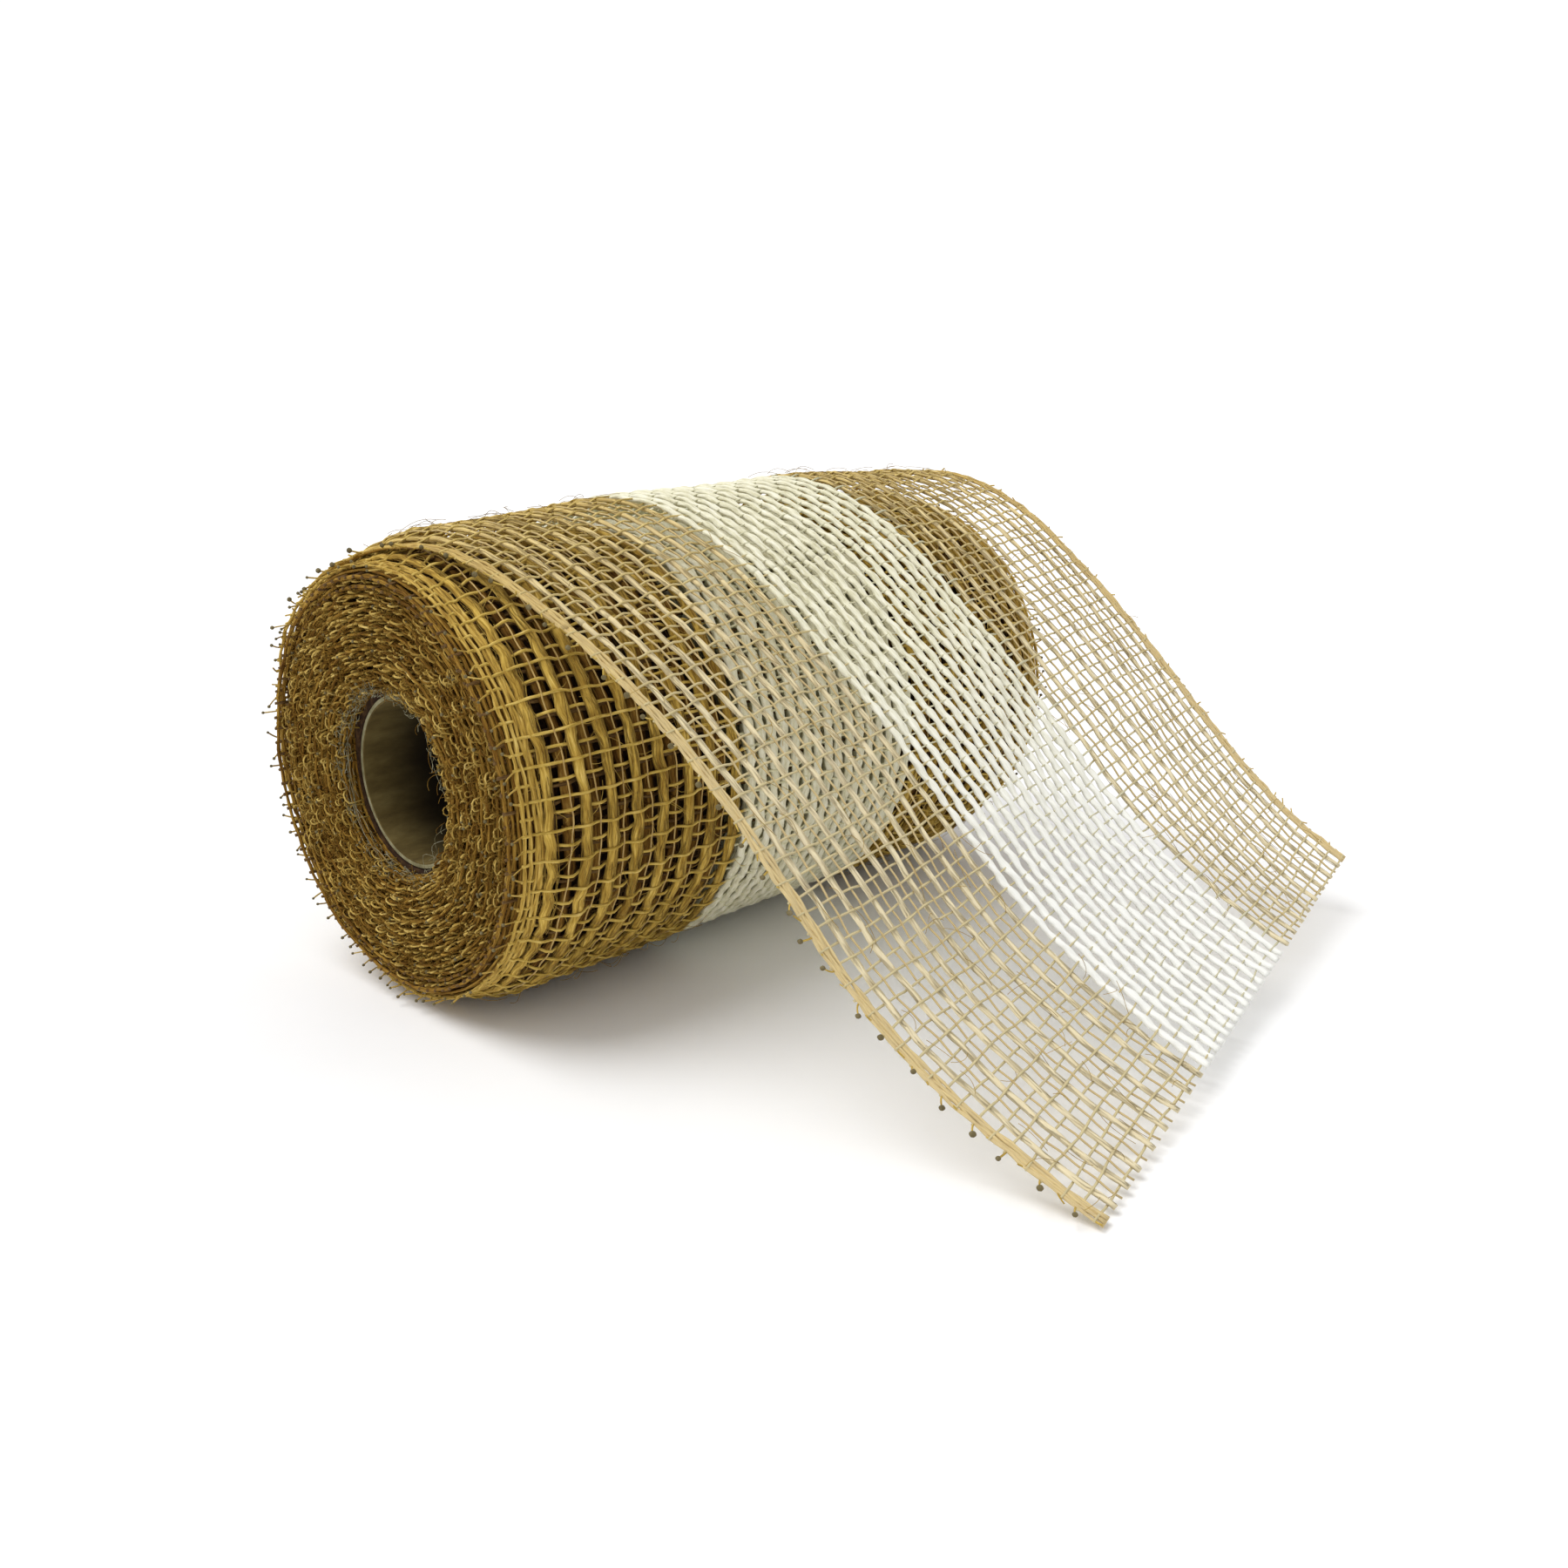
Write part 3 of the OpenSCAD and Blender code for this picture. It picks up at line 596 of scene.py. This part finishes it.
# the outermost turn, in two stretches
TURN = 2 * math.pi * 44.4 / 360  # mm a degree
made = {}
phi_end = 515.0
n_turn = int((phi_end - 145) * TURN / PICK)
turn_pick = lambda p: 145 + (-p - 0.5) * PICK / TURN  # p is negative before the lift-off
mid_phi = 330.0
ON_ROLL = (JUTE, WEFT, BINDER, FINEJ, COTTONM)
for name, a0, a1 in (("turn_a", 145.0, mid_phi), ("turn_b", mid_phi, phi_end)):
    ps = [p for p in range(-n_turn, 0) if a0 <= turn_pick(p) < a1]
    made[name] = web(name, roll_outer, a0, a1, (a1 - a0) * TURN, ps, ON_ROLL, turn_pick, join=(a0 - 145) * TURN)

# the loose end, in two stretches that meet at SPLIT_U
L_MID = (L_NEAR + L_FAR) / 2
n_tail = int(round(L_MID / PICK))
tail_pick = lambda p: (p + 0.5) / n_tail
# the loose end's finishes are lit copies of the turn's: painted light
LOOSE = (JUTE_L, WEFT_L, BINDER_L, FINEJ_L, COTTON_L)
for name, a0, a1 in (("tail_a", 0.0, SPLIT_U), ("tail_b", SPLIT_U, 1.0)):
    ps = [p for p in range(n_tail) if a0 <= tail_pick(p) < a1]
    made[name] = web(name, tail, a0, a1, (a1 - a0) * L_MID, ps, LOOSE, tail_pick, join=a0 * L_MID, slim=lambda u: smooth(np.asarray(u, float) / 0.26), bend=0.30 if name == "tail_a" else 0.42, fibres=1.0)

# two turns inside it, coarser, in shaded copies of the finishes: painted shade
UNDER = (JUTE_UNDER_SHADED, WEFT_SHADED, WEFT_SHADED, JUTE_SHADED, COTTON_SHADED)
for name, r, ph0 in (("under_a", 42.1, 0.0), ("under_b", 40.25, 47.0)):
    turn = 2 * math.pi * r / 360
    np_ = int(360 * turn / PICK) // 2 * 2
    made[name] = web(name, roll_ring(r, -1.7 if name == "under_a" else -0.7), ph0, ph0 + 360.0, 360 * turn, range(np_), UNDER, lambda p, n=np_, o=ph0: o + (p + 0.5) * 360 / n, fine=1.75, warp_k=6, weft_k=4, fibres=0.0)

# ------------------------------------------- the wound turns at the two ends
ends = Mesh("wound_ends_jute")
knots = Mesh("wound_ends_knots")
radii = np.concatenate([np.linspace(18.4, 37.0, 22), [38.8, 40.65]])
for side in (-1, 1):
    for t, r in enumerate(radii):
        n = max(60, int(2 * math.pi * r / 1.8))
        ph = np.linspace(0, 360, n) + rng.uniform(0, 360)
        rr = r + wave(ph, 40 + t + side, [180, 90, 45, 24], [0.16, 0.14, 0.12, 0.1]) * (0.4 if r > 40 else 1.0)
        up = np.stack([np.cos(rad(ph)), 0 * ph, np.sin(rad(ph))], -1)
        bulge = 0.5 * math.sin(math.pi * min(t, 21) / 21) - 0.8 * (t < 2) + (0.6 * math.sin(2.4 * t + side) if 1 < t < 21 else 0.0)
        for m, (w, a, b) in enumerate([(0.4, 0.27, 0.25), (1.15, 0.27, 0.25), (1.9, 0.30, 0.28), (2.9, 0.34, 0.30), (4.8, 0.9, 0.40)]):
            y = side * (W / 2 - w + bulge) + wave(ph, 900 + 7 * t + m, [120, 60, 31, 15], [0.22, 0.18, 0.16, 0.14])
            C = np.stack([rr * np.cos(rad(ph)), y, rr * np.sin(rad(ph))], -1)
            ends.tube(C, up, a, b, k=5, mat=0, seed=8000 + 31 * t + m + 500 * side, lobes=2, twist=4.5, depth=0.1)
        # the weft's turns at the edge: short loops that lie over the rings
        if r > 40:
            continue
        nl = int(2 * math.pi * r / 2.5)
        for k in range(nl):
            g = np.random.default_rng(100000 + 5000 * (side + 1) + 200 * t + k)
            p0 = 360.0 * (k + g.uniform(-0.35, 0.35)) / nl
            q = np.linspace(0, 1, 8)
            lean, reach, rise = g.uniform(-3.2, 3.2), g.uniform(0.25, 1.3), g.uniform(-1.5, 1.5)
            pp = p0 + (lean * q + 0.7 * np.sin(q * 2 * math.pi)) * 57.3 / r
            ry = r + rise * (q - 0.4)
            y = side * (W / 2 + bulge - 2.6 + (2.6 + reach) * np.sin(q * math.pi) ** 0.6)
            C = np.stack([ry * np.cos(rad(pp)), y, ry * np.sin(rad(pp))], -1)
            th_ = g.uniform(0.12, 0.19)
            ends.tube(C, np.tile([[0.3, 0.1, 0.9]], (8, 1)), th_, th_, k=4, mat=1 if g.random() < 0.75 else 0, seed=int(g.integers(9999)))
            if g.random() < 0.10:
                knots.bead(C[4], g.uniform(0.26, 0.36), 0, int(g.integers(9999)))
# the end faces take the shaded copy of the jute: painted shade
ends_o = ends.build([JUTE_SHADED, LOOP])
knots_o = knots.build([BEAD])

# depth behind the open weave: a solid in painted shade, dark in the jute bands and dimmed in the cotton band, standing
# for the shaded inner turns
core = Mesh("wound_depth_painted_shade")
for j, (w0, w1, mat) in enumerate([(3.6, 50.3, 0), (50.3, 102.1, 1), (102.1, W - 3.6, 0)]):
    n = 120
    for r0, r1 in ((39.1, 17.35),):
        ph = np.linspace(0, 360, n, endpoint=False)
        w = [w0, w0 + 0.01] if False else np.linspace(w0, w1, 14)
        prof = [(r1, w0)] + [(r0 + 0.92 * float(shoulder(np.array(x))), x) for x in w] + [(r1, w1)]
        base = core.nv
        P = np.array([[(r * math.cos(rad(a)), x - W / 2, r * math.sin(rad(a))) for a in ph] for r, x in prof])
        k, m = len(prof), n
        core.v.append(P.reshape(-1, 3))
        core.nv += k * m
        i, jj = np.meshgrid(np.arange(k), np.arange(m), indexing="ij")
        i2, j2 = (i + 1) % k, (jj + 1) % m
        quad = np.stack([base + i * m + jj, base + i2 * m + jj, base + i2 * m + j2, base + i * m + j2], -1).reshape(-1, 4)
        core.q.append(quad)
        x = np.stack([jj, jj, jj + 1, jj + 1], -1).reshape(-1, 4) / m
        y = np.stack([i, i + 1, i + 1, i], -1).reshape(-1, 4) / k
        core.qy.append(np.stack([x, y], -1))
        core.qb.append(np.stack([0.005 + 0.99 * x, core.rows + 0.03 + 0.94 * y], -1))
        core.qm.append(np.full(len(quad), mat))
        core.rows += 1
core_o = core.build([SHADE, SHADE_W])

# ------------------------------- the weft's ends past the outer turn's edges
pins = Mesh("turn_pins")
pin_knots = Mesh("turn_knots")


def pin(mesh, kmesh, surf, s, w_edge, out, g, length, span, r_k):
    q = np.linspace(0, 1, 6)
    lean = g.uniform(-1.6, 1.6) / length * span
    w = w_edge + out * (q * 1.0) * np.sign(1)
    h = g.uniform(-0.5, 0.9) * q ** 1.5
    C, up = surf(s + lean * q ** 1.5, w, h)
    mesh.tube(C, up, 0.135, 0.135, k=4, mat=0, seed=int(g.integers(9999)))
    if r_k:
        kmesh.bead(C[-1], r_k, 0, int(g.integers(9999)))


deg = 360.0
for p in range(-n_turn, 0):
    g = np.random.default_rng(200000 - p)
    for w_edge, sgn in ((0.2, -1), (W - 0.2, 1)):
        long_ = g.random() < 0.8
        reach = g.uniform(1.7, 2.9) if long_ else g.uniform(0.5, 1.2)
        pin(pins, pin_knots, roll_outer, turn_pick(p), w_edge, sgn * reach, g, (phi_end - 145) * TURN, phi_end - 145, g.uniform(0.25, 0.35) if long_ else 0)
pins_o = pins.build([LOOP])
pin_knots_o = pin_knots.build([BEAD])

tp, tk = {}, {}
for name, a0, a1 in (("tail_a", 0.0, SPLIT_U), ("tail_b", SPLIT_U, 1.0)):
    a, b = Mesh(name + "_pins"), Mesh(name + "_knots")
    for p in range(n_tail):
        if not a0 <= tail_pick(p) < a1:
            continue
        g = np.random.default_rng(210000 + p)
        for w_edge, sgn in ((0.2, -1), (W - 0.2, 1)):
            long_ = (p % 2 == 0) and sgn < 0
            reach = g.uniform(1.2, 2.4) if long_ else g.uniform(0.3, 0.9)
            pin(a, b, tail, min(max(tail_pick(p), a0 + 0.004), a1 - 0.004), w_edge, sgn * reach, g, L_MID, 1.0, g.uniform(0.40, 0.55) if long_ and sgn < 0 else 0)
    tp[name], tk[name] = a.build([WEFT]), b.build([BEAD])


# -------------------------------------------------------------- stray fibres
def strays(name, surf, s0, s1, length, count, seed, reach=2.2, wide=True):
    m = Mesh(name)
    g = np.random.default_rng(seed)
    for _ in range(count):
        if wide:
            w = g.choice(THICK) + g.uniform(-1.2, 1.2)
        else:
            w = g.choice([0.3, W - 0.3])
        s = g.uniform(s0, s1)
        ln = g.uniform(3, 11)
        q = np.linspace(0, 1, 7)
        head = g.uniform(0, 6.28)
        curl = g.uniform(-1.6, 1.6)
        rise = g.uniform(0.2, reach)
        aw = w + np.cumsum(np.cos(head + curl * q)) * ln / 7 * 0.7
        as_ = s + np.cumsum(np.sin(head + curl * q)) * ln / 7 / length * (s1 - s0)
        as_ = np.clip(as_, s0, s1)
        aw = np.clip(aw, -2.2, W + 2.2)
        h = 0.7 + rise * np.sin(q * g.uniform(1.6, 3.0)) + 0.0 * q
        C, up = surf(as_, aw, h)
        m.tube(C, up, 0.055, 0.055, k=3, mat=0, seed=int(g.integers(9999)))
    return m.build([FINEJ])


fuzz_turn = strays("turn_strays", roll_outer, 150.0, 480.0, 330 * TURN, 520, 71)
fuzz_ta = strays("tail_a_strays", tail, 0.02, SPLIT_U - 0.01, 0.4 * L_MID, 150, 72, 1.6)
fuzz_tb = strays("tail_b_strays", tail, SPLIT_U + 0.01, 0.995, 0.6 * L_MID, 190, 73, 1.2)

# the ends' fuzz, and the glued fibres round the core's mouth
face = Mesh("wound_face_strays")
glue = Mesh("core_mouth_fibres")
for side in (-1, 1):
    g = np.random.default_rng(81 + side)
    for _ in range(650):
        r, p = g.uniform(19.5, 39.0), g.uniform(0, 6.28)
        ln, head, curl = g.uniform(2.5, 8), g.uniform(0, 6.28), g.uniform(-2.2, 2.2)
        q = np.linspace(0, 1, 7)
        x = r * math.cos(p) + np.cumsum(np.cos(head + curl * q)) * ln / 7
        z = r * math.sin(p) + np.cumsum(np.sin(head + curl * q)) * ln / 7
        lim = np.hypot(x, z)
        keep = np.where(lim > 39.2, 39.2 / lim, 1.0)
        y = side * (W / 2 + 0.8 + g.uniform(0, 1.3) * np.sin(q * 2.6))
        C = np.stack([x * keep, 0 * x + y, z * keep], -1)
        face.tube(C, np.tile([[0.0, 1.0, 0.1]], (7, 1)), 0.06, 0.06, k=3, mat=0, seed=int(g.integers(9999)))
    for _ in range(560):
        p = g.normal(math.radians(118), 0.95) if g.random() < 0.6 else (g.normal(math.radians(268), 0.5) if g.random() < 0.6 else g.uniform(0, 6.28))
        r = 17.4 + abs(g.normal(0, 1.35))
        ln, head, curl = g.uniform(0.8, 3.0), g.uniform(0, 6.28), g.uniform(-2.4, 2.4)
        q = np.linspace(0, 1, 7)
        x = r * math.cos(p) + np.cumsum(np.cos(head + curl * q)) * ln / 7
        z = r * math.sin(p) + np.cumsum(np.sin(head + curl * q)) * ln / 7
        lim = np.hypot(x, z)
        keep = np.where(lim < 17.2, 17.2 / lim, 1.0)
        y = side * (W / 2 - 2.6 + 3.0 * g.uniform(0, 1) + g.uniform(-0.6, 0.8) * q)
        C = np.stack([x * keep, y, z * keep], -1)
        glue.tube(C, np.tile([[0.0, 1.0, 0.1]], (7, 1)), 0.06, 0.055, k=3, mat=0, seed=int(g.integers(9999)))
for side in (-1, 1):
    g = np.random.default_rng(191 + side)
    for _ in range(11):
        p = g.uniform(0, 6.28)
        q = np.linspace(0, 1, 9)
        r = 17.4 - g.uniform(0.4, 2.6) * np.sin(q * math.pi) + 0.8 * (1 - np.sin(q * math.pi))
        pp = p + q * g.uniform(0.4, 1.0)
        y = side * (W / 2 - 1.2 + g.uniform(0, 1.4) * np.sin(q * 3.0))
        C = np.stack([r * np.cos(pp), y, r * np.sin(pp)], -1)
        glue.tube(C, np.tile([[0.0, 1.0, 0.1]], (9, 1)), 0.045, 0.045, k=3, mat=0, seed=int(g.integers(9999)))
# the face's stray fibres take the shaded copy of the jute: painted shade
face_o, glue_o = face.build([JUTE_SHADED]), glue.build([GLUE])

# --------------------------------------------------- finish on the CAD cores
for n, m in (("core_inner_ply", KRAFT), ("core_middle_ply", KRAFT_EDGE), ("core_outer_ply", KRAFT_EDGE)):
    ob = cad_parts[n]
    ob.data.materials.clear()
    ob.data.materials.append(m)

# ----------------------------------------------------- what moves with what
for k in ("turn_a", "turn_b"):
    for o in made[k]:
        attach(o, "outer_turn")
for o in (pins_o, pin_knots_o, fuzz_turn):
    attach(o, "outer_turn")
for k in ("under_a", "under_b"):
    for o in made[k]:
        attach(o, "wound_pack")
for o in (ends_o, knots_o, core_o, face_o, glue_o):
    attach(o, "wound_pack")
for o in (*made["tail_a"], tp["tail_a"], tk["tail_a"], fuzz_ta):
    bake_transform(o)
c0, _ = tail(FOLD_U - 0.03, 76.2, 0.0)
c1, _ = tail(FOLD_U + 0.03, 76.2, 0.0)
ax = np.array([0.12359695, -0.98938328, -0.07644944])
d = c1 - c0
d = unit(d - ax * np.dot(d, ax))
for o in (*made["tail_b"], tp["tail_b"], tk["tail_b"], fuzz_tb):
    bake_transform(o)

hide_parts("turn_jute_near", "turn_jute_far", "turn_selvedge_near", "turn_selvedge_far", "turn_wefts")
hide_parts("turn_cotton")
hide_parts("tail_jute_near", "tail_jute_far", "tail_selvedge_near", "tail_selvedge_far", "tail_wefts")
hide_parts("tail_cotton")
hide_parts("end_jute_near", "end_jute_far", "end_selvedge_near", "end_selvedge_far", "end_wefts")
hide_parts("end_cotton")
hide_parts("wound_jute_near", "wound_jute_far", "wound_cotton")
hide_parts("wound_selvedge_near", "wound_selvedge_far")
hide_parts("start_strip")

# ------------------------------------------------------ floor, light, camera
FLOOR_Z = -0.044528
me = bpy.data.meshes.new("floor")
e = 60.0
me.from_pydata([(-e, -e, FLOOR_Z), (e, -e, FLOOR_Z), (e, e, FLOOR_Z), (-e, e, FLOOR_Z)], [], [(0, 1, 2, 3)])
me.materials.append(solid_material("studio_floor", [(0.3, (0.93, 0.93, 0.935)), (0.6, (0.945, 0.945, 0.95)), (0.8, (0.955, 0.955, 0.96))], 30, (1, 1, 1), 0.9, 0.02, False, 0.0))
floor = bpy.data.objects.new("floor", me)
bpy.context.scene.collection.objects.link(floor)

scene = bpy.context.scene
scene.view_settings.view_transform = "Standard"
scene.view_settings.look = "None"
world = bpy.data.worlds.new("studio")
scene.world = world
world.use_nodes = True
wt = world.node_tree
bg = wt.nodes["Background"]
bg.inputs["Color"].default_value = (1.0, 1.0, 1.0, 1)
bg.inputs["Strength"].default_value = 0.72
plain = wt.nodes.new("ShaderNodeBackground")
plain.inputs["Color"].default_value = (1, 1, 1, 1)
plain.inputs["Strength"].default_value = 1.05
path = wt.nodes.new("ShaderNodeLightPath")
pick = wt.nodes.new("ShaderNodeMixShader")
wt.links.new(path.outputs["Is Camera Ray"], pick.inputs[0])
wt.links.new(bg.outputs[0], pick.inputs[1])
wt.links.new(plain.outputs[0], pick.inputs[2])
wt.links.new(pick.outputs[0], wt.nodes["World Output"].inputs["Surface"])


def sun(name, towards, strength, spread):
    li = bpy.data.lights.new(name, "SUN")
    li.energy = strength
    li.angle = math.radians(spread)
    ob = bpy.data.objects.new(name, li)
    ob.rotation_euler = (-Vector(towards)).to_track_quat("Z", "Y").to_euler()
    ob.location = -Vector(towards) * 0.8
    scene.collection.objects.link(ob)
    return ob


sun("key", (0.30, 0.36, -1.0), 1.75, 40)

cam = bpy.data.cameras.new("camera")
cam.lens = 33.68
cam.sensor_width = 36
cam.clip_start = 0.01
cam_o = bpy.data.objects.new("camera", cam)
cam_o.location = (0.23778, -0.21501, 0.08136)
cam_o.rotation_euler = (math.radians(90 - 16.96), 0, math.radians(44.03))
scene.collection.objects.link(cam_o)
scene.camera = cam_o
